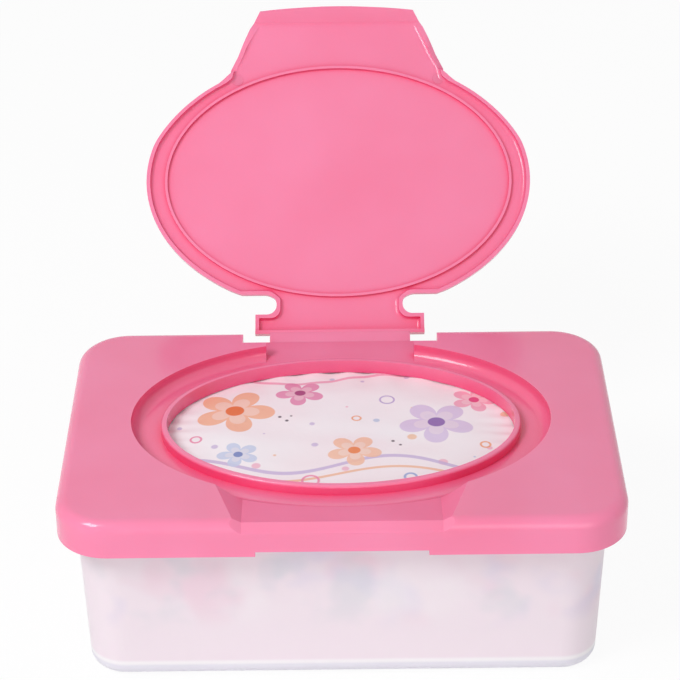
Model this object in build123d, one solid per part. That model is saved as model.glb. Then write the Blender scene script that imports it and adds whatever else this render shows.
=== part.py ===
from build123d import *
from math import cos, radians, sin, tan
import os

# A free-standing box for wet wipes: a translucent tub with a soft film pack of wipes in it, and a glossy
# push-fit lid with an oval well, a raised collar round the mouth and a large oval flip cap on a living hinge.
# Millimetres, +Z up, front at -Y, standing on z = 0. The cap is modelled shut and then turned open.

# Overall size, with the cap shut
BOX_W = 190.0
BOX_D = 127.0
BOX_H = 68.0

# Lid
SKIRT_H = 13.0
LID_CORNER_R = 18.0
LID_EDGE_R = 4.0
LID_WALL = 1.5
LEDGE_W = 2.0
NOTCH_W = 57.0
NOTCH_H = 1.8
SNAP_L = 24.0
SNAP_OUT = 0.3
SNAP_H = 1.2

# Well, collar and mouth in the lid
WELL_A = 73.0
WELL_B = 52.4
WELL_Y = 3.0
WELL_DEPTH = 5.2
WELL_FILLET = 3.5
WELL_FLOOR = 1.4
COLLAR_A = 62.7
COLLAR_B = 42.5
COLLAR_T = 2.0
COLLAR_H = 3.6

# Rear cut-out and channel for the hinge
CUTOUT_W = 71.4
CUTOUT_D = 9.0
CHANNEL_W = 54.0

# Front thumb scoop
SCOOP_W = 66.0
SCOOP_SIDE = 9.5
SCOOP_INTO = 10.4
SCOOP_LIP_DEPTH = 1.6
SLOPE_RUN = 3.3
SLOPE_DROP = 2.4

# Flip cap
CAP_T = 1.4
CAP_RIM = 3.2
CAP_EDGE_R = 1.2
CAP_INNER_R = 1.4
CAP_GAP = 0.6
SCOOP_GAP = 0.4
CAP_BASE_GAP = 2.8
NECK_GAP = 2.0
NOTCH_D = 7.6
NOTCH_L = 40.0
TAB_W = 56.0
TAB_ROOT_W = 92.0
TAB_INTO = 18.0
TAB_OVER = 1.9
TAB_ROOT_R = 14.0
TAB_ARCH = 1.4
RIB_GAP = 1.8
RIB_T = 1.0
RIB_H = 1.2
BEAD_W = 12.0
BEAD_R = 0.8
OPEN_ANGLE = 132.5

# Living hinge
WEB_T = 0.5
WEB_W = 52.0
HINGE_OUT = 1.8

# Tub
TUB_INSET = 6.0
TUB_CORNER_R = 15.0
TUB_WALL = 1.2
TUB_FLOOR = 1.5
TUB_DRAFT = 2.2
TUB_FOOT_R = 4.5
FLANGE_T = 1.5
FIT_GAP = 0.4
SEAT_GAP = 0.1

# Pack of wipes
PACK_SLACK = 3.5
PACK_GAP = 0.3
PACK_EDGE_R = 8.0
FILM_T = 0.4
WIPES_GAP = 0.1

# Places that follow from the sizes
FLOOR_Z = BOX_H - WELL_DEPTH
SEAT_Z = FLOOR_Z - WELL_FLOOR
SKIRT_Z = BOX_H - SKIRT_H
RIM_Z = SEAT_Z - SEAT_GAP
TUB_W = BOX_W - 2 * TUB_INSET
TUB_D = BOX_D - 2 * TUB_INSET
TUB_TAPER = RIM_Z * tan(radians(TUB_DRAFT))
PACK_W = TUB_W - 2 * (TUB_TAPER + TUB_WALL + PACK_SLACK)
PACK_D = TUB_D - 2 * (TUB_TAPER + TUB_WALL + PACK_SLACK)
REAR_Y = BOX_D / 2
HINGE_Y = REAR_Y + HINGE_OUT
HINGE_Z = FLOOR_Z
CAP_A = WELL_A - CAP_GAP
CAP_B = WELL_B - CAP_GAP
RIB_A = COLLAR_A + RIB_GAP
RIB_B = COLLAR_B + RIB_GAP
PACK_TOP = SEAT_Z - PACK_GAP
TAB_ROOT_Y = WELL_Y - CAP_B + TAB_INTO
SCOOP_Y = WELL_Y - CAP_B + SCOOP_INTO
FRONT_Y = -BOX_D / 2 - TAB_OVER
SLOPE_Y = -BOX_D / 2 + SLOPE_RUN


def block(width, depth, z0, z1, corner=0.0, y=0.0):
    """Upright block with rounded corners, centred on x = 0."""
    outline = RectangleRounded(width, depth, corner) if corner else Rectangle(width, depth)
    return Pos(0, y, z0) * extrude(outline, amount=z1 - z0)


def oval(a, b, z0, z1):
    """Upright elliptical block on the centre of the well."""
    return Pos(0, WELL_Y, z0) * extrude(Ellipse(a, b), amount=z1 - z0)


def edges_at(solid, z):
    """Edges that lie in the level z."""
    return solid.edges().filter_by_position(Axis.Z, z - 0.001, z + 0.001)


def across(points, width):
    """Profile of (y, z) points, extruded over a width centred on x = 0."""
    face = Plane.YZ * make_face(Polyline(*points, close=True))
    return Pos(-width / 2, 0, 0) * extrude(face, amount=width, dir=(1, 0, 0))


def well_cutter():
    """Oval recess with a rounded foot, the hinge channel and the open cut-out behind it."""
    over = BOX_H + 1
    bowl = fillet(edges_at(oval(WELL_A, WELL_B, FLOOR_Z, over), FLOOR_Z), WELL_FILLET)
    channel_l = REAR_Y - WELL_Y
    channel = block(CHANNEL_W, channel_l, FLOOR_Z, over, y=WELL_Y + channel_l / 2)
    cutout = block(CUTOUT_W, CUTOUT_D + 2, FLOOR_Z, over, y=REAR_Y - CUTOUT_D / 2 + 1)
    return bowl + channel + cutout


def scoop(gap=0.0):
    """Thumb scoop between sloping sides: its floor rises from the well and then slopes to the front."""
    over = BOX_H + 1
    beyond = SLOPE_RUN + TAB_OVER + 1
    end_depth = SCOOP_LIP_DEPTH + beyond * SLOPE_DROP / SLOPE_RUN
    stations = [(SCOOP_Y, WELL_DEPTH), (SLOPE_Y, SCOOP_LIP_DEPTH), (SLOPE_Y - beyond, end_depth)]
    faces = []
    for y, depth in stations:
        half = SCOOP_W / 2 - gap
        wide = half + SCOOP_SIDE * (depth + 1) / WELL_DEPTH
        z = BOX_H - depth + gap
        faces.append(make_face(Polyline((-half, y, z), (half, y, z), (wide, y, over), (-wide, y, over), close=True)))
    return loft(faces[:2], ruled=True) + loft(faces[1:], ruled=True)


def make_lid():
    shell = block(BOX_W, BOX_D, SKIRT_Z, BOX_H, LID_CORNER_R)
    shell = fillet(edges_at(shell, BOX_H), LID_EDGE_R)
    inside_w = BOX_W - 2 * LID_WALL
    inside_d = BOX_D - 2 * LID_WALL
    shell -= block(inside_w, inside_d, SKIRT_Z - 1, SEAT_Z, LID_CORNER_R - LID_WALL)
    hollow = block(
        inside_w - 2 * LEDGE_W,
        inside_d - 2 * LEDGE_W,
        SEAT_Z - 1,
        BOX_H - LID_WALL,
        LID_CORNER_R - LID_WALL - LEDGE_W,
    )
    tray = oval(WELL_A + LID_WALL, WELL_B + LID_WALL, SEAT_Z, BOX_H)
    tray += block(CUTOUT_W + 2 * LID_WALL, REAR_Y - WELL_Y, SEAT_Z, BOX_H, y=(REAR_Y + WELL_Y) / 2)
    scoop_w = SCOOP_W + 2 * SCOOP_SIDE + 2 * LID_WALL
    tray += block(scoop_w, REAR_Y + WELL_Y, SEAT_Z, BOX_H, y=(WELL_Y - REAR_Y) / 2)
    shell -= hollow - tray
    shell -= well_cutter() + scoop()
    collar = oval(COLLAR_A, COLLAR_B, SEAT_Z, FLOOR_Z + COLLAR_H)
    collar = fillet(edges_at(collar, FLOOR_Z + COLLAR_H), COLLAR_T * 0.45)
    shell += collar
    mouth = oval(COLLAR_A - COLLAR_T, COLLAR_B - COLLAR_T, SEAT_Z - 1, BOX_H + 1)
    shell -= mouth
    front_notch = block(NOTCH_W, 4 * LID_WALL, SKIRT_Z - 1, SKIRT_Z + NOTCH_H, y=-BOX_D / 2)
    shell -= front_notch
    bead_z = (RIM_Z - FLANGE_T + SKIRT_Z) / 2 + SNAP_H
    for side in (-1, 1):
        inner_y = side * (inside_d / 2)
        tip = inner_y - side * SNAP_OUT
        bead = [(inner_y, bead_z - SNAP_H), (inner_y, bead_z + SNAP_H), (tip, bead_z)]
        for x in (-BOX_W / 4, BOX_W / 4):
            shell += Pos(x, 0, 0) * across(bead, SNAP_L)
    return shell


def cap_outline(inset=0.0):
    """Plan of the shut cap: oval, thumb tab with an arched front, and a base bar behind two notches."""
    a, b = CAP_A - inset, CAP_B - inset
    half, root = TAB_W / 2 - inset, TAB_ROOT_W / 2 - inset
    front_y = FRONT_Y + inset
    sides = Polyline((-half, front_y + TAB_ARCH), (-root, TAB_ROOT_Y), (root, TAB_ROOT_Y), (half, front_y + TAB_ARCH))
    arch = ThreePointArc((half, front_y + TAB_ARCH), (0, front_y), (-half, front_y + TAB_ARCH))
    plan = Pos(0, WELL_Y) * Ellipse(a, b) + make_face([sides, arch])
    roots = [v for v in plan.vertices() if front_y + 2 * TAB_ARCH < v.Y < WELL_Y - b / 2]
    plan = fillet(roots, TAB_ROOT_R + inset)
    rear_y = REAR_Y - CAP_GAP - inset
    bar_w = CUTOUT_W - 2 * CAP_BASE_GAP - 2 * inset
    plan += Pos(0, (WELL_Y + rear_y) / 2) * Rectangle(bar_w, rear_y - WELL_Y)
    neck = CHANNEL_W / 2 - NECK_GAP - inset
    notch_d = NOTCH_D + 2 * inset
    notch_y = REAR_Y - CUTOUT_D + CAP_GAP - NOTCH_D / 2
    for side in (-1, 1):
        notch = RectangleRounded(NOTCH_L, notch_d, NOTCH_D / 2 - 0.2)
        plan -= Pos(side * (neck + NOTCH_L / 2), notch_y) * notch
    return plan


def make_cap():
    """Shallow moulded shell with a seal rib inside, a drop wall at the hinge and a sloping front lip."""
    top = BOX_H
    rim_z = top - CAP_RIM
    bend_y = SLOPE_Y
    shell = Pos(0, 0, rim_z) * extrude(cap_outline(), amount=CAP_RIM)
    shell = fillet(edges_at(shell, top), CAP_EDGE_R)
    hollow = Pos(0, 0, rim_z - 1) * extrude(cap_outline(CAP_T), amount=CAP_RIM - CAP_T + 1)
    shell -= fillet(edges_at(hollow, top - CAP_T), CAP_INNER_R)
    rise = [(bend_y, rim_z - 1), (bend_y, top - CAP_T), (SCOOP_Y, rim_z), (SCOOP_Y, rim_z - 1)]
    shell -= across(rise, BOX_W)
    shell -= block(BOX_W, BOX_D, rim_z - 1, top + 1, y=bend_y - BOX_D / 2)
    drop = (bend_y - FRONT_Y) * SLOPE_DROP / SLOPE_RUN
    lip = [(bend_y, top), (FRONT_Y, top - drop), (FRONT_Y, top - CAP_T - drop), (bend_y, top - CAP_T)]
    reach = Pos(0, 0, top - 2 * drop) * extrude(cap_outline(), amount=3 * drop)
    shell += across(lip, BOX_W) & reach
    bead = Rot(0, 90, 0) * Cylinder(BEAD_R, BEAD_W)
    shell += Pos(0, FRONT_Y + BEAD_R, top - CAP_T - drop) * bead
    seat = scoop(SCOOP_GAP) + oval(CAP_A, CAP_B, rim_z - 1, top + 1)
    ahead = block(BOX_W, BOX_D, SKIRT_Z, top + 1, y=SCOOP_Y - BOX_D / 2)
    shell -= ahead - seat
    rear_y = REAR_Y - CAP_GAP
    wall = [
        (rear_y - CAP_T, top - CAP_T),
        (rear_y, top - CAP_T),
        (rear_y, FLOOR_Z + WEB_T),
        (rear_y - CAP_T, FLOOR_Z + WEB_T),
    ]
    shell += across(wall, CUTOUT_W - 2 * CAP_BASE_GAP)
    rib_z = top - CAP_T - RIB_H
    rib = oval(RIB_A + RIB_T, RIB_B + RIB_T, rib_z, top - CAP_T / 2)
    shell += rib - oval(RIB_A, RIB_B, rib_z, top - CAP_T / 2)
    return shell


def turn_open(shape, angle):
    """Turn a shape of the shut cap back about the hinge axis."""
    to_axis = Pos(0, HINGE_Y, HINGE_Z)
    return to_axis * Rot(-angle, 0, 0) * to_axis.inverse() * shape


def opened(forward, up):
    """Where a point of the shut cap, given from the hinge axis, lies once the cap is open."""
    angle = radians(OPEN_ANGLE)
    back = up * sin(angle) - forward * cos(angle)
    rise = forward * sin(angle) + up * cos(angle)
    return HINGE_Y + back, HINGE_Z + rise


def make_web():
    """Thin strip that joins the floor of the lid to the drop wall of the opened cap."""
    reach = HINGE_OUT + CAP_GAP
    outer = opened(reach, WEB_T)
    inner = opened(reach + WEB_T, WEB_T)
    return across([(REAR_Y, FLOOR_Z - WEB_T), (REAR_Y, FLOOR_Z), inner, outer], WEB_W)


def make_tub():
    corner = TUB_CORNER_R - TUB_TAPER
    bottom = RectangleRounded(TUB_W - 2 * TUB_TAPER, TUB_D - 2 * TUB_TAPER, corner)
    body = extrude(bottom, amount=RIM_Z, taper=-TUB_DRAFT)
    body = fillet(edges_at(body, 0), TUB_FOOT_R)
    flange_w = BOX_W - 2 * LID_WALL - 2 * FIT_GAP
    flange_d = BOX_D - 2 * LID_WALL - 2 * FIT_GAP
    body += block(flange_w, flange_d, RIM_Z - FLANGE_T, RIM_Z, LID_CORNER_R - LID_WALL - FIT_GAP)
    thin = TUB_TAPER + TUB_WALL
    inside = RectangleRounded(TUB_W - 2 * thin, TUB_D - 2 * thin, corner - TUB_WALL)
    return body - Pos(0, 0, TUB_FLOOR) * extrude(inside, amount=RIM_Z, taper=-TUB_DRAFT)


def pillow(inset, z0):
    """Soft block with rounded corners."""
    return block(PACK_W - 2 * inset, PACK_D - 2 * inset, z0, PACK_TOP - inset, PACK_EDGE_R - inset)


def make_film():
    base = TUB_FLOOR
    return pillow(0, base) - pillow(FILM_T, base + FILM_T)


def make_wipes():
    return pillow(FILM_T + WIPES_GAP, TUB_FLOOR + FILM_T + WIPES_GAP)


parts = {
    "tub": make_tub(),
    "pack_film": make_film(),
    "wipes_stack": make_wipes(),
    "lid": make_lid(),
    "flip_cap": turn_open(make_cap(), OPEN_ANGLE),
    "living_hinge": make_web(),
}

os.makedirs("parts", exist_ok=True)
for name, shape in parts.items():
    shape.label = name
    export_step(shape, f"parts/{name}.step")
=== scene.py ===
from math import cos, radians, sin

import bmesh
import bpy
from mathutils import Matrix, Vector


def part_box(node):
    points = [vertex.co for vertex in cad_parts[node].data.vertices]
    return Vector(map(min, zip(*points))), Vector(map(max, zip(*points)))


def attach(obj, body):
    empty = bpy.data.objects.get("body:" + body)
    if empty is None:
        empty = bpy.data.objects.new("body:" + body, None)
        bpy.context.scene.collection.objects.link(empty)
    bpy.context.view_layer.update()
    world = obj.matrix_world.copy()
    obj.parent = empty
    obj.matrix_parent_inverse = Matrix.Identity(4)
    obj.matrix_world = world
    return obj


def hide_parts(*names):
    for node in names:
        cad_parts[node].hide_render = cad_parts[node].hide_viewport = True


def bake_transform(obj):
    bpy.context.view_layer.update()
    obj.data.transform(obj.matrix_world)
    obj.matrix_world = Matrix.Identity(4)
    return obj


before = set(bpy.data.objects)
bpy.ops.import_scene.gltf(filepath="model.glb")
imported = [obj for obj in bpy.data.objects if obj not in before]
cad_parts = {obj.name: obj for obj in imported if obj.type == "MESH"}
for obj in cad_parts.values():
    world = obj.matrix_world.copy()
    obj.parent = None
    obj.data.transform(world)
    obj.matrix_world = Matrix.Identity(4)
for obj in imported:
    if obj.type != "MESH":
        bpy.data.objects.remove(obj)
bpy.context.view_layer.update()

# Glossy pink polypropylene, shared by the lid, the cap and the hinge
# between them, which come out of one mould. The polished mould gives a
# hard shine, and light that enters the plastic comes back a little pinker.


def hex_to_linear(code):
    """Linear colour, with alpha, from an sRGB hex code."""
    channels = [int(code[i:i + 2], 16) / 255 for i in (0, 2, 4)]
    linear = [c / 12.92 if c <= 0.04045 else ((c + 0.055) / 1.055) ** 2.4 for c in channels]
    return (*linear, 1.0)


def add_node(tree, kind, settings=None, links=None):
    """Add one node, set its sockets and properties, and link sockets into it."""
    node = tree.nodes.new(kind)
    for name, value in (settings or {}).items():
        if isinstance(name, int) or name in node.inputs:
            node.inputs[name].default_value = value
        else:
            setattr(node, name, value)
    for name, socket in (links or {}).items():
        tree.links.new(socket, node.inputs[name])
    return node


def new_material(name):
    """Material without nodes, and the node tree to fill."""
    material = bpy.data.materials.new(name)
    material.use_nodes = True
    tree = material.node_tree
    tree.nodes.clear()
    return material, tree


def give(material, *objects):
    """Put one material on objects in place of what they had."""
    for thing in objects:
        thing.data.materials.clear()
        thing.data.materials.append(material)


# Deeper pink that is mixed into corners as painted shade
PAINTED_SHADE_PINK = "EE4276"


def pink_moulding(name, thick_code, thin_code, smoothest, roughest):
    """Moulded pink plastic: cloudy body colour, with painted shade of a deeper pink in its corners, and an
    uneven polish.
    """
    material, tree = new_material(name)
    place = add_node(tree, "ShaderNodeTexCoord")
    # Flow of the melt: soft clouds about 40 mm across, barely lighter and darker
    clouds = add_node(
        tree, "ShaderNodeTexNoise", {"Scale": 25.0, "Detail": 2.0}, {"Vector": place.outputs["Object"]}
    )
    tint = add_node(tree, "ShaderNodeValToRGB", {}, {"Fac": clouds.outputs["Fac"]})
    tint.color_ramp.elements[0].position = 0.3
    tint.color_ramp.elements[0].color = hex_to_linear(thick_code)
    tint.color_ramp.elements[1].position = 0.7
    tint.color_ramp.elements[1].color = hex_to_linear(thin_code)
    # Painted shade: corners, found by ambient occlusion, are mixed towards a deeper pink
    corner_shade = add_node(tree, "ShaderNodeAmbientOcclusion", {"samples": 8, "Distance": 0.014})
    open_to_light = add_node(
        tree, "ShaderNodeMapRange", {"From Min": 0.35, "From Max": 0.98}, {"Value": corner_shade.outputs["AO"]}
    )
    pink_with_painted_shade = add_node(
        tree,
        "ShaderNodeMix",
        {"data_type": "RGBA", 6: hex_to_linear(PAINTED_SHADE_PINK)},
        {0: open_to_light.outputs["Result"], 7: tint.outputs["Color"]},
    )
    # Polish that varies in patches of about 15 mm, so that highlights have a soft broken edge
    patches = add_node(
        tree, "ShaderNodeTexNoise", {"Scale": 65.0, "Detail": 3.0}, {"Vector": place.outputs["Object"]}
    )
    polish = add_node(
        tree,
        "ShaderNodeMapRange",
        {"From Min": 0.3, "From Max": 0.7, "To Min": smoothest, "To Max": roughest},
        {"Value": patches.outputs["Fac"]},
    )
    # Faint waves of the moulded skin, about 12 mm across and a few hundredths of a millimetre deep
    waves = add_node(
        tree, "ShaderNodeTexNoise", {"Scale": 80.0, "Detail": 1.0}, {"Vector": place.outputs["Object"]}
    )
    skin = add_node(
        tree, "ShaderNodeBump", {"Strength": 0.08, "Distance": 0.001}, {"Height": waves.outputs["Fac"]}
    )
    plastic = add_node(
        tree,
        "ShaderNodeBsdfPrincipled",
        {
            "IOR": 1.49,
            "Subsurface Weight": 0.15,
            "Subsurface Radius": (0.004, 0.001, 0.0015),
            "Subsurface Scale": 1.0,
        },
        {
            "Base Color": pink_with_painted_shade.outputs[2],
            "Roughness": polish.outputs["Result"],
            "Normal": skin.outputs["Normal"],
        },
    )
    add_node(tree, "ShaderNodeOutputMaterial", {}, {"Surface": plastic.outputs["BSDF"]})
    return material


moulded_pink = pink_moulding("gloss_moulded_polypropylene_pink", "F680A5", "F988AE", 0.15, 0.21)
give(moulded_pink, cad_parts["lid"])

# Flip cap, moulded with the lid: the CAD solid with its sides moved where
# the thumb tab flows into the oval and beside the neck, and two round marks
# inside, beside the tab, where the ejector pins pushed on the soft plastic.

CAP_LEAN = radians(132.5)
HINGE_LINE = Vector((0, 0.0653, 0.0628))
# Place from front to back with the cap shut, and how far each side moves in there
DRAWN_IN = (
    (-0.066, -0.0011),
    (-0.0579, -0.0018),
    (-0.0518, -0.0012),
    (-0.0468, -0.0005),
    (-0.0415, -0.0005),
    (-0.0395, 0.0006),
    (-0.0377, 0.0022),
    (-0.0357, 0.0033),
    (-0.0317, 0.0025),
    (-0.0257, 0.0017),
    (-0.02, 0.001),
    (-0.012, 0.0),
    (0.046, 0.0),
    (0.049, 0.0015),
    (0.065, 0.0014),
)
# First cut, spacing and count, so that the sides bend smoothly at the tab and at the neck
TAB_CUTS = (-0.065, 0.0014, 38)
NECK_CUTS = (0.045, 0.0015, 12)
RIB_ACROSS, RIB_ALONG, RIB_MIDDLE = 0.0655, 0.0453, 0.003
# The rib and the middle stay where they are: the sides move fully beyond these
RIB_CLEAR = 1.09
STILL_HALF, FREE_HALF = 0.012, 0.022
SAME_POINT = 0.000002
ON_CUT = 0.000001
SHARP_TURN = 28
PIN_PLACES = ((-0.03797, 0.13731, 0.13576), (0.03851, 0.13726, 0.13571))
PIN_RADIUS = 0.0021
PIN_RISE = 0.00009
LIP_LINE = -0.0602


def step(value, start, end):
    """Smooth rise from 0 at start to 1 at end."""
    t = max(0.0, min(1.0, (value - start) / (end - start)))
    return t * t * (3 - 2 * t)


def new_piece(name, made):
    """Object with the mesh of a bmesh, which is freed."""
    mesh = bpy.data.meshes.new(name)
    made.to_mesh(mesh)
    made.free()
    thing = bpy.data.objects.new(name, mesh)
    bpy.context.scene.collection.objects.link(thing)
    return thing


def drawn_in(y):
    """How far the sides of the cap move in at this distance along it."""
    for (y0, in0), (y1, in1) in zip(DRAWN_IN, DRAWN_IN[1:]):
        if y0 <= y <= y1:
            return in0 + (in1 - in0) * (y - y0) / (y1 - y0)
    return DRAWN_IN[0][1] if y < 0 else DRAWN_IN[-1][1]


shut = Matrix.Translation(HINGE_LINE) @ Matrix.Rotation(CAP_LEAN, 4, "X") @ Matrix.Translation(-HINGE_LINE)
cap = bmesh.new()
cap.from_mesh(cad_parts["flip_cap"].data)
bmesh.ops.remove_doubles(cap, verts=cap.verts, dist=SAME_POINT)
bmesh.ops.transform(cap, matrix=shut, verts=cap.verts)
for first, pitch, count in (TAB_CUTS, NECK_CUTS):
    for i in range(count):
        bmesh.ops.bisect_plane(
            cap,
            geom=cap.verts[:] + cap.edges[:] + cap.faces[:],
            dist=ON_CUT,
            plane_co=(0, first + pitch * i, 0),
            plane_no=(0, 1, 0),
        )
for vert in cap.verts:
    x, y, z = vert.co
    from_rib = ((x / RIB_ACROSS) ** 2 + ((y - RIB_MIDDLE) / RIB_ALONG) ** 2) ** 0.5
    share = step(from_rib, 1.0, RIB_CLEAR) * step(abs(x), STILL_HALF, FREE_HALF)
    vert.co.x = x - (drawn_in(y) * share if x > 0 else -drawn_in(y) * share)
bmesh.ops.transform(cap, matrix=shut.inverted(), verts=cap.verts)
cap.normal_update()
# The mould is polished outside, satin inside the cap and matt under the lip, so the shine fades in steps;
# under the lip the pink is also darker, as painted shade
inner_pink = pink_moulding("satin_moulded_polypropylene_pink", "F785AB", "FA8DB4", 0.3, 0.4)
lip_pink_painted_shade = pink_moulding("matt_moulded_polypropylene_pink_painted_shade", "EC6F97", "F0779E", 0.42, 0.5)
inwards = shut.inverted().to_3x3() @ Vector((0, 0, -1))
for face in cap.faces:
    face.smooth = True
    if face.normal.dot(inwards) > 0.5:
        ahead = (shut @ face.calc_center_median()).y < LIP_LINE
        face.material_index = 2 if ahead else 1
for edge in cap.edges:
    edge.smooth = edge.calc_face_angle(0.0) < radians(SHARP_TURN)
inner_side = Matrix.Rotation(-CAP_LEAN, 4, "X") @ Matrix.Rotation(radians(180), 4, "X")
for spot in PIN_PLACES:
    disc = bmesh.ops.create_circle(
        cap, cap_ends=True, segments=32, radius=PIN_RADIUS, matrix=Matrix.Translation(spot) @ inner_side
    )
    face = disc["verts"][0].link_faces[0]
    face.normal_update()
    if face.normal.dot(inwards) < 0:
        face.normal_flip()
    face.material_index = 1
    bmesh.ops.translate(cap, vec=inwards * PIN_RISE, verts=disc["verts"])
flip_cap = new_piece("flip_cap_moulding", cap)
give(moulded_pink, flip_cap)
flip_cap.data.materials.append(inner_pink)
flip_cap.data.materials.append(lip_pink_painted_shade)
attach(flip_cap, "cap")
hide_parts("flip_cap")

# The living hinge, moulded half a millimetre thin between lid and cap: its strip
# is split into many narrow steps across and given one fixed bow.

STRIP_THICK = 0.0005
STRIP_STEPS = 14
STRIP_BOW = 1.3
low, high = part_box("living_hinge")
strip = bmesh.new()
bmesh.ops.create_grid(strip, x_segments=2, y_segments=STRIP_STEPS, size=0.5)
bmesh.ops.scale(strip, vec=(high[0] - low[0], 1.0, 1.0), verts=strip.verts)
bow_start = Vector((0, low[1], low[2] + STRIP_THICK))
bow_end = Vector((0, high[1], high[2]))
for vert in strip.verts:
    along = vert.co.y + 0.5
    vert.co.y = bow_start.y + (bow_end.y - bow_start.y) * along
    vert.co.z = bow_start.z + (bow_end.z - bow_start.z) * along ** STRIP_BOW
bmesh.ops.recalc_face_normals(strip, faces=strip.faces)
hinge_strip = new_piece("hinge_strip", strip)
thicken = hinge_strip.modifiers.new("thickness", "SOLIDIFY")
thicken.thickness = STRIP_THICK
thicken.offset = -1.0
give(moulded_pink, hinge_strip)
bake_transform(hinge_strip)
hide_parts("living_hinge")

# Milky polypropylene tub, the CAD solid. It is moulded thin enough for light
# and the pastel colours of the pack behind its wall to come through as soft
# clouds, and the uncoloured plastic has a satin skin without sharp highlights.

milky, tree = new_material("satin_moulded_polypropylene_natural")
place = add_node(tree, "ShaderNodeTexCoord")
height = add_node(tree, "ShaderNodeSeparateXYZ", {}, {"Vector": place.outputs["Object"]})


def wall_layer(below, code, heights, patches=None):
    """Colour of the wall with another over it, as far as the ranges of height and the patches let it show."""
    share = patches
    for low, high, strength in heights:
        rise = add_node(
            tree,
            "ShaderNodeMapRange",
            {"interpolation_type": "SMOOTHSTEP", "From Min": low, "From Max": high, "To Max": strength},
            {"Value": height.outputs["Z"]},
        ).outputs["Result"]
        if share is None:
            share = rise
        else:
            both = add_node(tree, "ShaderNodeMath", {"operation": "MULTIPLY"}, {0: share, 1: rise})
            share = both.outputs["Value"]
    over = {"data_type": "RGBA", 7: hex_to_linear(code)}
    return add_node(tree, "ShaderNodeMix", over, {0: share, 6: below}).outputs[2]


body = add_node(tree, "ShaderNodeRGB")
body.outputs["Color"].default_value = hex_to_linear("F5E4EE")
wall_tint = body.outputs["Color"]
# Blurred print of the pack behind the wall: patches about 20 to 35 mm across in the upper half
PATCHES = ((34.0, "F3CADB", 0.55), (40.0, "DAD3EC", 0.6), (52.0, "D9D9E2", 0.55), (28.0, "FAF0F6", 0.5))
PATCH_FADE = (0.016, 0.034)
for number, (scale, code, strength) in enumerate(PATCHES):
    shifted = add_node(
        tree,
        "ShaderNodeMapping",
        {"Location": (0.31 * number, 0.17 * number, 0.0)},
        {"Vector": place.outputs["Object"]},
    )
    patch = add_node(
        tree, "ShaderNodeTexNoise", {"Scale": scale, "Detail": 2.0}, {"Vector": shifted.outputs["Vector"]}
    )
    share = add_node(
        tree,
        "ShaderNodeMapRange",
        {"interpolation_type": "SMOOTHSTEP", "From Min": 0.52, "From Max": 0.72},
        {"Value": patch.outputs["Fac"]},
    )
    wall_tint = wall_layer(wall_tint, code, [(*PATCH_FADE, strength)], share.outputs["Result"])
# Foot below the pack: greyer, with a painted highlight along the rounded foot as a thin light line
wall_tint = wall_layer(wall_tint, "E7E3EF", [(0.0075, 0.0045, 1.0)])
wall_tint = wall_layer(wall_tint, "FFFAFD", [(0.0045, 0.0058, 1.0), (0.0075, 0.006, 0.7)])
# Satin skin of the mould, with a grain of about a millimetre
grain = add_node(
    tree, "ShaderNodeTexNoise", {"Scale": 900.0, "Detail": 2.0}, {"Vector": place.outputs["Object"]}
)
satin = add_node(
    tree, "ShaderNodeBump", {"Strength": 0.05, "Distance": 0.0003}, {"Height": grain.outputs["Fac"]}
)
wall = add_node(
    tree,
    "ShaderNodeBsdfPrincipled",
    {
        "Roughness": 0.36,
        "IOR": 1.49,
        "Subsurface Weight": 0.25,
        "Subsurface Radius": (0.005, 0.004, 0.005),
        "Subsurface Scale": 1.0,
    },
    {"Base Color": wall_tint, "Normal": satin.outputs["Normal"]},
)
add_node(tree, "ShaderNodeOutputMaterial", {}, {"Surface": wall.outputs["BSDF"]})
give(milky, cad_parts["tub"])

# Flow-wrapped pack of wipes: printed polyester film drawn round the folded
# stack, a little crowned, gathered into creases towards its sealed ends. The
# film is glossy, so each crease catches a thin light line.

FILM_CORNER = 0.0065
SAG_ENDS = 0.0035
SAG_SIDES = 0.0015
BULGE = 0.001
GATHER = 0.0007
CREASE = 0.0004
RIPPLE = 0.00016
END_WAVE = 0.0006
WRAP_CUTS = 84
MOUTH_ACROSS, MOUTH_ALONG, MOUTH_MIDDLE = 0.0607, 0.0405, 0.003

low, high = (Vector(corner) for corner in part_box("pack_film"))
pack_middle = (low + high) / 2
pack_half = (high - low) / 2


def round_block(made, half, corner):
    """Move the points of a unit cube onto a block with round edges."""
    for vert in made.verts:
        full = Vector([vert.co[i] * half[i] for i in range(3)])
        core = Vector([max(corner - half[i], min(half[i] - corner, full[i])) for i in range(3)])
        vert.co = core + (full - core).normalized() * corner


wrap = bmesh.new()
bmesh.ops.create_cube(wrap, size=2.0)
bmesh.ops.subdivide_edges(wrap, edges=wrap.edges, cuts=WRAP_CUTS, use_grid_fill=True)
round_block(wrap, pack_half, FILM_CORNER)
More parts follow.
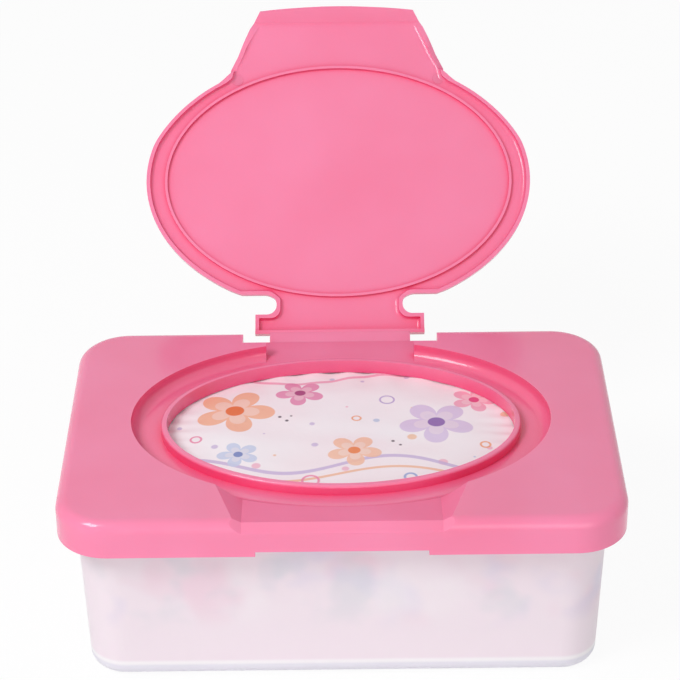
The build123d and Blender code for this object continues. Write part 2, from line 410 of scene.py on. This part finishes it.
# The top sags at the ends and the sides and bulges in the mouth of the lid, and the sides draw in
for vert in wrap.verts:
    x, y, z = vert.co
    across, along = x / pack_half.x, y / pack_half.y
    upper = step(z, -pack_half.z * 0.6, pack_half.z)
    ends, sides = step(abs(across), 0.55, 1.0), step(abs(along), 0.5, 1.0)
    sag = SAG_ENDS * step(abs(across), 0.72, 1.05) + SAG_SIDES * step(abs(along), 0.86, 1.05)
    in_mouth = ((x / MOUTH_ACROSS) ** 2 + ((y - MOUTH_MIDDLE) / MOUTH_ALONG) ** 2) ** 0.5
    sag -= BULGE * step(1 - in_mouth, 0.0, 0.4)
    gather = GATHER * ends * sin(46 * along + 2.2 * sin(5 * along) + 3 * across)
    crease = CREASE * sides * sin(34 * across + 1.7 * sin(4 * across))
    ripple = RIPPLE * sin(9 * across + 5 * along + 1.3 * sin(6 * along)) * sin(7 * along - 3 * across)
    vert.co.z = z - upper * (sag - gather - crease - ripple)
    belly = 1 - 0.012 * step(abs(along), 0.3, 1.0) - 0.01 * (z / pack_half.z) ** 2
    vert.co.x = x * belly + END_WAVE * ends * sin(30 * z / pack_half.z + 4 * along)
    vert.co.y = y * (1 - 0.02 * step(abs(across), 0.5, 1.0) - 0.012 * (z / pack_half.z) ** 2)
bmesh.ops.translate(wrap, vec=pack_middle, verts=wrap.verts)
wrap.normal_update()
# The print is laid out flat: over the top, then down the sides and the ends
flat = wrap.loops.layers.uv.new("print")
for face in wrap.faces:
    face.smooth = True
    lean = face.normal
    for loop in face.loops:
        x, y, z = loop.vert.co
        down = high.z - z
        if abs(lean.y) > max(abs(lean.x), abs(lean.z)):
            loop[flat].uv = (x, y + down * (1 if y > 0 else -1))
        elif abs(lean.x) > abs(lean.z):
            loop[flat].uv = (x + down * (1 if x > 0 else -1), y)
        else:
            loop[flat].uv = (x, y)
film_wrap = new_piece("pack_film_wrap", wrap)

film, tree = new_material("gloss_printed_polyester_film")
sheet = add_node(tree, "ShaderNodeUVMap", {"uv_map": "print"})
spot = add_node(tree, "ShaderNodeSeparateXYZ", {}, {"Vector": sheet.outputs["UV"]})
# Ink edge: the print fades out over about a third of a millimetre
INK_EDGE = 0.00035


def ink(below, inside, colour, strength=1.0):
    """Print a colour where the distance inside a motif's edge is positive."""
    cover = add_node(
        tree, "ShaderNodeMapRange", {"From Max": INK_EDGE, "To Max": strength}, {"Value": inside}
    )
    settings = {"data_type": "RGBA", 7: hex_to_linear(colour)}
    return add_node(tree, "ShaderNodeMix", settings, {0: cover.outputs["Result"], 6: below}).outputs[2]


def away(x, y):
    """Offset from a point of the print, and its distance."""
    offset = add_node(
        tree, "ShaderNodeVectorMath", {"operation": "SUBTRACT", 1: (x, y, 0)}, {0: sheet.outputs["UV"]}
    )
    span = add_node(tree, "ShaderNodeVectorMath", {"operation": "LENGTH"}, {0: offset.outputs["Vector"]})
    return offset.outputs["Vector"], span.outputs["Value"]


# Pale ground with broad soft clouds, then confetti dots of 1 to 4 mm, one to each 16 mm
wash = add_node(tree, "ShaderNodeTexNoise", {"Scale": 22.0, "Detail": 1.0}, {"Vector": sheet.outputs["UV"]})
ground = add_node(tree, "ShaderNodeValToRGB", {}, {"Fac": wash.outputs["Fac"]})
ground.color_ramp.elements[0].position = 0.35
ground.color_ramp.elements[0].color = hex_to_linear("FAF6FB")
ground.color_ramp.elements[1].position = 0.65
ground.color_ramp.elements[1].color = hex_to_linear("FAEEF4")
cells = add_node(
    tree,
    "ShaderNodeTexVoronoi",
    {"voronoi_dimensions": "2D", "Scale": 62.0, "Randomness": 0.9},
    {"Vector": sheet.outputs["UV"]},
)
shade = add_node(tree, "ShaderNodeSeparateColor", {}, {"Color": cells.outputs["Color"]})
dots = add_node(tree, "ShaderNodeValToRGB", {}, {"Fac": shade.outputs["Red"]})
dots.color_ramp.interpolation = "CONSTANT"
dots.color_ramp.elements[0].color = hex_to_linear("F2B6CC")
dots.color_ramp.elements[1].position = 0.85
dots.color_ramp.elements[1].color = hex_to_linear("B9C9E6")
for position, code in ((0.3, "CDBBE0"), (0.55, "F3C3A2"), (0.72, "F4D7E2")):
    dots.color_ramp.elements.new(position).color = hex_to_linear(code)
size = add_node(
    tree, "ShaderNodeMath", {"operation": "MULTIPLY_ADD", 1: 0.09, 2: 0.03}, {0: shade.outputs["Green"]}
)
depth = add_node(
    tree,
    "ShaderNodeMath",
    {"operation": "SUBTRACT"},
    {0: size.outputs["Value"], 1: cells.outputs["Distance"]},
)
mask = add_node(
    tree, "ShaderNodeMapRange", {"From Max": 0.03, "To Max": 0.85}, {"Value": depth.outputs["Value"]}
)
print_colour = add_node(
    tree,
    "ShaderNodeMix",
    {"data_type": "RGBA"},
    {0: mask.outputs["Result"], 6: ground.outputs["Color"], 7: dots.outputs["Color"]},
).outputs[2]
# Long waves: height, swing, turns per metre, half width, colour
WAVES = (
    (-0.019, 0.005, 88.0, 0.0011, "C6B2DE"),
    (-0.0245, 0.004, 80.0, 0.0008, "F2B48E"),
    (0.0385, 0.003, 95.0, 0.001, "F09CBC"),
)
for height, swing, turns, half_width, colour in WAVES:
    bend = spot.outputs["X"]
    for operation, numbers in (
        ("MULTIPLY", {1: turns}),
        ("SINE", {}),
        ("MULTIPLY_ADD", {1: swing, 2: height}),
    ):
        wave_step = add_node(tree, "ShaderNodeMath", {"operation": operation, **numbers}, {0: bend})
        bend = wave_step.outputs["Value"]
    drop = add_node(tree, "ShaderNodeMath", {"operation": "SUBTRACT"}, {0: spot.outputs["Y"], 1: bend})
    gap = add_node(tree, "ShaderNodeMath", {"operation": "ABSOLUTE"}, {0: drop.outputs["Value"]})
    inside = add_node(
        tree, "ShaderNodeMath", {"operation": "SUBTRACT", 0: half_width}, {1: gap.outputs["Value"]}
    )
    print_colour = ink(print_colour, inside.outputs["Value"], colour, 0.8)
# Five-petalled blossoms: place, petal reach, turn, petal colour, heart colour
BLOSSOMS = (
    (-0.0375, 0.0165, 0.0145, 0.3, "F6B391", "E8743B"),
    (-0.0145, 0.0285, 0.0090, 1.1, "E58BB4", "A84C80"),
    (0.0335, 0.0075, 0.0135, 0.9, "DCC8EA", "8E6FB5"),
    (0.0475, 0.0235, 0.0085, 0.1, "F4A7C1", "E0568A"),
    (0.0045, -0.0105, 0.0098, 0.6, "F7C2A6", "EE8A54"),
    (-0.0355, -0.0120, 0.0076, 1.4, "C9D3EE", "7C8CC4"),
)
PETALS = 5
INNER_SHARE = 0.62
HEART_SHARE = 0.24
for x, y, reach, turn, petal, heart in BLOSSOMS:
    offset, away_from_heart = away(x, y)
    parts = add_node(tree, "ShaderNodeSeparateXYZ", {}, {"Vector": offset})
    angle = add_node(
        tree, "ShaderNodeMath", {"operation": "ARCTAN2"}, {0: parts.outputs["Y"], 1: parts.outputs["X"]}
    )
    rim = angle.outputs["Value"]
    for operation, numbers in (
        ("MULTIPLY_ADD", {1: PETALS / 2, 2: turn}),
        ("COSINE", {}),
        ("ABSOLUTE", {}),
        ("MULTIPLY_ADD", {1: 0.8, 2: 0.2}),
        ("POWER", {1: 0.5}),
        ("MULTIPLY", {1: reach}),
    ):
        petal_step = add_node(tree, "ShaderNodeMath", {"operation": operation, **numbers}, {0: rim})
        rim = petal_step.outputs["Value"]
    inner = add_node(tree, "ShaderNodeMath", {"operation": "MULTIPLY", 1: INNER_SHARE}, {0: rim})
    for edge, colour, strength in ((rim, petal, 0.9), (inner.outputs["Value"], "FBEDEE", 0.35)):
        inside = add_node(tree, "ShaderNodeMath", {"operation": "SUBTRACT"}, {0: edge, 1: away_from_heart})
        print_colour = ink(print_colour, inside.outputs["Value"], colour, strength)
    inside = add_node(
        tree, "ShaderNodeMath", {"operation": "SUBTRACT", 0: reach * HEART_SHARE}, {1: away_from_heart}
    )
    print_colour = ink(print_colour, inside.outputs["Value"], heart)
# Seeds, small dark dots, and rings: place, outer and inner radius, colour
SPOTS = (
    (-0.0215, 0.0120, 0.0008, 0.0, "4A4450"),
    (-0.0190, 0.0095, 0.0008, 0.0, "4A4450"),
    (-0.0175, 0.0125, 0.0006, 0.0, "4A4450"),
    (0.0180, -0.0045, 0.0008, 0.0, "4A4450"),
    (0.0205, -0.0070, 0.0007, 0.0, "4A4450"),
    (-0.0505, -0.0015, 0.0024, 0.0013, "E97FA6"),
    (0.0165, 0.0230, 0.0030, 0.0020, "B7A0D6"),
    (0.0055, 0.0105, 0.0020, 0.0010, "F0A070"),
    (-0.0105, -0.0285, 0.0034, 0.0022, "EE86AC"),
    (0.0235, -0.0265, 0.0026, 0.0014, "93A8DB"),
    (0.0500, -0.0065, 0.0022, 0.0011, "F0A070"),
)
for x, y, outer, hole, colour in SPOTS:
    radius = away(x, y)[1]
    inside = add_node(tree, "ShaderNodeMath", {"operation": "SUBTRACT", 0: outer}, {1: radius})
    if hole:
        beyond = add_node(tree, "ShaderNodeMath", {"operation": "SUBTRACT", 1: hole}, {0: radius})
        inside = add_node(
            tree,
            "ShaderNodeMath",
            {"operation": "MINIMUM"},
            {0: inside.outputs["Value"], 1: beyond.outputs["Value"]},
        )
    print_colour = ink(print_colour, inside.outputs["Value"], colour, 0.9)
# Crinkles of the film, about 14 mm across
crinkle = add_node(
    tree, "ShaderNodeTexNoise", {"Scale": 70.0, "Detail": 3.0}, {"Vector": sheet.outputs["UV"]}
)
foil = add_node(
    tree, "ShaderNodeBump", {"Strength": 0.25, "Distance": 0.001}, {"Height": crinkle.outputs["Fac"]}
)
printed = add_node(
    tree,
    "ShaderNodeBsdfPrincipled",
    {"Roughness": 0.26, "IOR": 1.5},
    {"Base Color": print_colour, "Normal": foil.outputs["Normal"]},
)
add_node(tree, "ShaderNodeOutputMaterial", {}, {"Surface": printed.outputs["BSDF"]})
give(film, film_wrap)
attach(film_wrap, "tub")
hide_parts("pack_film")

# Crimped seals that close the two ends of the film, folded down flat. The
# heated jaws press fine ribs across them, which break up the gloss.

FIN_LENGTH = 0.094
FIN_WIDTH = 0.012
FIN_TOP = 0.034
FIN_ROWS = 24
FIN_SINK = 0.0012
FIN_FLARE = 0.0026
FIN_WAVE = 0.0003
CRIMP = 0.0002
DOUBLE_FILM = 0.00012
fins = bmesh.new()
for side in (-1, 1):
    fin = bmesh.ops.create_grid(fins, x_segments=40, y_segments=FIN_ROWS, size=0.5)
    for vert in fin["verts"]:
        run, fall = vert.co.x, vert.co.y + 0.5
        row = round(fall * FIN_ROWS)
        out = pack_half.x - FIN_SINK + FIN_FLARE * step(fall, 0.0, 0.25) + CRIMP * (row % 2)
        wave = FIN_WAVE * sin(17 * run)
        vert.co = (side * (out + wave), pack_middle.y + run * FIN_LENGTH, FIN_TOP - fall * FIN_WIDTH)
seal_fins = new_piece("film_end_seals", fins)
thicken = seal_fins.modifiers.new("thickness", "SOLIDIFY")
thicken.thickness = DOUBLE_FILM
crimped, tree = new_material("crimped_polyester_film_seal")
seal = add_node(tree, "ShaderNodeTexCoord")
press = add_node(
    tree, "ShaderNodeTexNoise", {"Scale": 400.0, "Detail": 2.0}, {"Vector": seal.outputs["Object"]}
)
dent = add_node(
    tree, "ShaderNodeBump", {"Strength": 0.3, "Distance": 0.0003}, {"Height": press.outputs["Fac"]}
)
folded = add_node(
    tree,
    "ShaderNodeBsdfPrincipled",
    {"Roughness": 0.32, "Base Color": hex_to_linear("EFE6F0")},
    {"Normal": dent.outputs["Normal"]},
)
add_node(tree, "ShaderNodeOutputMaterial", {}, {"Surface": folded.outputs["BSDF"]})
give(crimped, seal_fins)
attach(seal_fins, "tub")

# Stack of folded wipes inside the film: damp spunlaced nonwoven, folded in
# layers that lie on each other, a few tenths of a millimetre out of line.

LAYERS = 26
STACK_INSET = 0.0045
STACK_FOOT = 0.0006
STACK_TOP_ROOM = 0.006
LAYER_FILL = 0.97
FOLD_ROUND = 0.4
SLIP_ACROSS, SLIP_ALONG = 0.0005, 0.0006

low, high = (Vector(corner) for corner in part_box("wipes_stack"))
layer_pitch = (high.z - low.z - STACK_FOOT - STACK_TOP_ROOM) / LAYERS
stack = bmesh.new()
for layer in range(LAYERS):
    slab = bmesh.ops.create_cube(stack, size=1.0)["verts"]
    bmesh.ops.scale(
        stack,
        vec=(high.x - low.x - 2 * STACK_INSET, high.y - low.y - 2 * STACK_INSET, layer_pitch * LAYER_FILL),
        verts=slab,
    )
    middle = low.z + STACK_FOOT + layer_pitch * (layer + 0.5)
    slip = (SLIP_ACROSS * sin(layer * 2.4), SLIP_ALONG * cos(layer * 1.7), middle)
    bmesh.ops.translate(stack, vec=slip, verts=slab)
    folds = list({edge for vert in slab for edge in vert.link_edges})
    bmesh.ops.bevel(
        stack,
        geom=folds,
        offset=layer_pitch * FOLD_ROUND,
        segments=3,
        profile=0.5,
        affect="EDGES",
        material=-1,
    )
for face in stack.faces:
    face.smooth = True
wipes = new_piece("folded_wipes", stack)
# Tangled fibres give a dull white with fine lint, drawn coarser than real so that it shows
nonwoven, tree = new_material("spunlace_nonwoven_white")
place = add_node(tree, "ShaderNodeTexCoord")
fibres = add_node(
    tree,
    "ShaderNodeTexNoise",
    {"Scale": 1500.0, "Detail": 4.0, "Distortion": 1.5},
    {"Vector": place.outputs["Object"]},
)
lint = add_node(tree, "ShaderNodeValToRGB", {}, {"Fac": fibres.outputs["Fac"]})
lint.color_ramp.elements[0].color = hex_to_linear("E6E5E2")
lint.color_ramp.elements[1].color = hex_to_linear("F7F6F3")
fuzz = add_node(
    tree, "ShaderNodeBump", {"Strength": 0.4, "Distance": 0.0003}, {"Height": fibres.outputs["Fac"]}
)
cloth = add_node(
    tree,
    "ShaderNodeBsdfPrincipled",
    {"Roughness": 0.85, "Sheen Weight": 0.2},
    {"Base Color": lint.outputs["Color"], "Normal": fuzz.outputs["Normal"]},
)
add_node(tree, "ShaderNodeOutputMaterial", {}, {"Surface": cloth.outputs["BSDF"]})
give(nonwoven, wipes)
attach(wipes, "tub")
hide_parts("wipes_stack")

# Studio: white paper under and behind the box, a soft key lamp from the
# upper left, a weaker one low in front, and even light from a white room.

FLOOR_SIZE = 3.0
FLOOR_DROP = 0.0002
PAPER_GLOW = 0.93
ROOM_LIGHT = 0.42
BOX_MIDDLE = (0, 0, 0.06)

sweep = bmesh.new()
bmesh.ops.create_grid(sweep, x_segments=1, y_segments=1, size=FLOOR_SIZE)
bmesh.ops.translate(sweep, vec=(0, 0, -FLOOR_DROP), verts=sweep.verts)
floor = new_piece("floor", sweep)
paper, tree = new_material("white_background_paper")
matt = add_node(tree, "ShaderNodeBsdfDiffuse", {"Color": hex_to_linear("FAF9FA")})
bright = add_node(tree, "ShaderNodeEmission", {"Color": (1, 1, 1, 1), "Strength": 1.0})


def unless_diffuse(strength=1.0):
    """How far a ray counts as seen: by the camera, in a gloss or through glass."""
    ray = add_node(tree, "ShaderNodeLightPath")
    seen = add_node(
        tree,
        "ShaderNodeMath",
        {"operation": "MAXIMUM"},
        {0: ray.outputs["Is Camera Ray"], 1: ray.outputs["Is Glossy Ray"]},
    )
    through = add_node(
        tree,
        "ShaderNodeMath",
        {"operation": "MAXIMUM"},
        {0: seen.outputs[0], 1: ray.outputs["Is Transmission Ray"]},
    )
    return add_node(
        tree, "ShaderNodeMath", {"operation": "MULTIPLY", 1: strength}, {0: through.outputs[0]}
    ).outputs[0]


mixed = add_node(
    tree,
    "ShaderNodeMixShader",
    {},
    {"Fac": unless_diffuse(PAPER_GLOW), 1: matt.outputs["BSDF"], 2: bright.outputs["Emission"]},
)
add_node(tree, "ShaderNodeOutputMaterial", {}, {"Surface": mixed.outputs["Shader"]})
give(paper, floor)

world = bpy.data.worlds.new("studio")
bpy.context.scene.world = world
world.use_nodes = True
tree = world.node_tree
tree.nodes.clear()
room = add_node(tree, "ShaderNodeBackground", {"Color": (1, 1, 1, 1), "Strength": ROOM_LIGHT})
backdrop = add_node(tree, "ShaderNodeBackground", {"Color": (1, 1, 1, 1), "Strength": 1.0})
mixed = add_node(
    tree,
    "ShaderNodeMixShader",
    {},
    {"Fac": unless_diffuse(), 1: room.outputs["Background"], 2: backdrop.outputs["Background"]},
)
add_node(tree, "ShaderNodeOutputWorld", {}, {"Surface": mixed.outputs["Shader"]})


def soft_lamp(name, place, size, watts):
    """Square area lamp that faces the middle of the box."""
    lamp = bpy.data.lights.new(name, "AREA")
    lamp.size = size
    lamp.energy = watts
    thing = bpy.data.objects.new(name, lamp)
    thing.location = place
    thing.rotation_euler = (Vector(BOX_MIDDLE) - Vector(place)).to_track_quat("-Z", "Y").to_euler()
    bpy.context.scene.collection.objects.link(thing)


soft_lamp("key", (-0.6, -0.5, 0.95), 0.45, 7.4)
soft_lamp("front", (0.3, -1.1, 0.3), 0.8, 3.1)

# Camera: a long lens about 0.9 m away, 30 degrees above the table and
# rolled by about half a degree, as in the picture that the box is taken from.

CAMERA_PLACE = (0.0, -0.7238, 0.5162)
CAMERA_PITCH = 29.9
CAMERA_ROLL = -0.63
LENS_PIXELS = 2452.0
IMAGE_PIXELS = 680.0
SENSOR_MM = 36.0
camera_data = bpy.data.cameras.new("camera")
camera_data.sensor_width = SENSOR_MM
camera_data.lens = LENS_PIXELS / IMAGE_PIXELS * SENSOR_MM
camera = bpy.data.objects.new("camera", camera_data)
turn = Matrix.Rotation(radians(90 - CAMERA_PITCH), 4, "X") @ Matrix.Rotation(radians(CAMERA_ROLL), 4, "Z")
camera.matrix_world = Matrix.Translation(CAMERA_PLACE) @ turn
bpy.context.scene.collection.objects.link(camera)
bpy.context.scene.camera = camera
bpy.context.scene.view_settings.view_transform = "Standard"
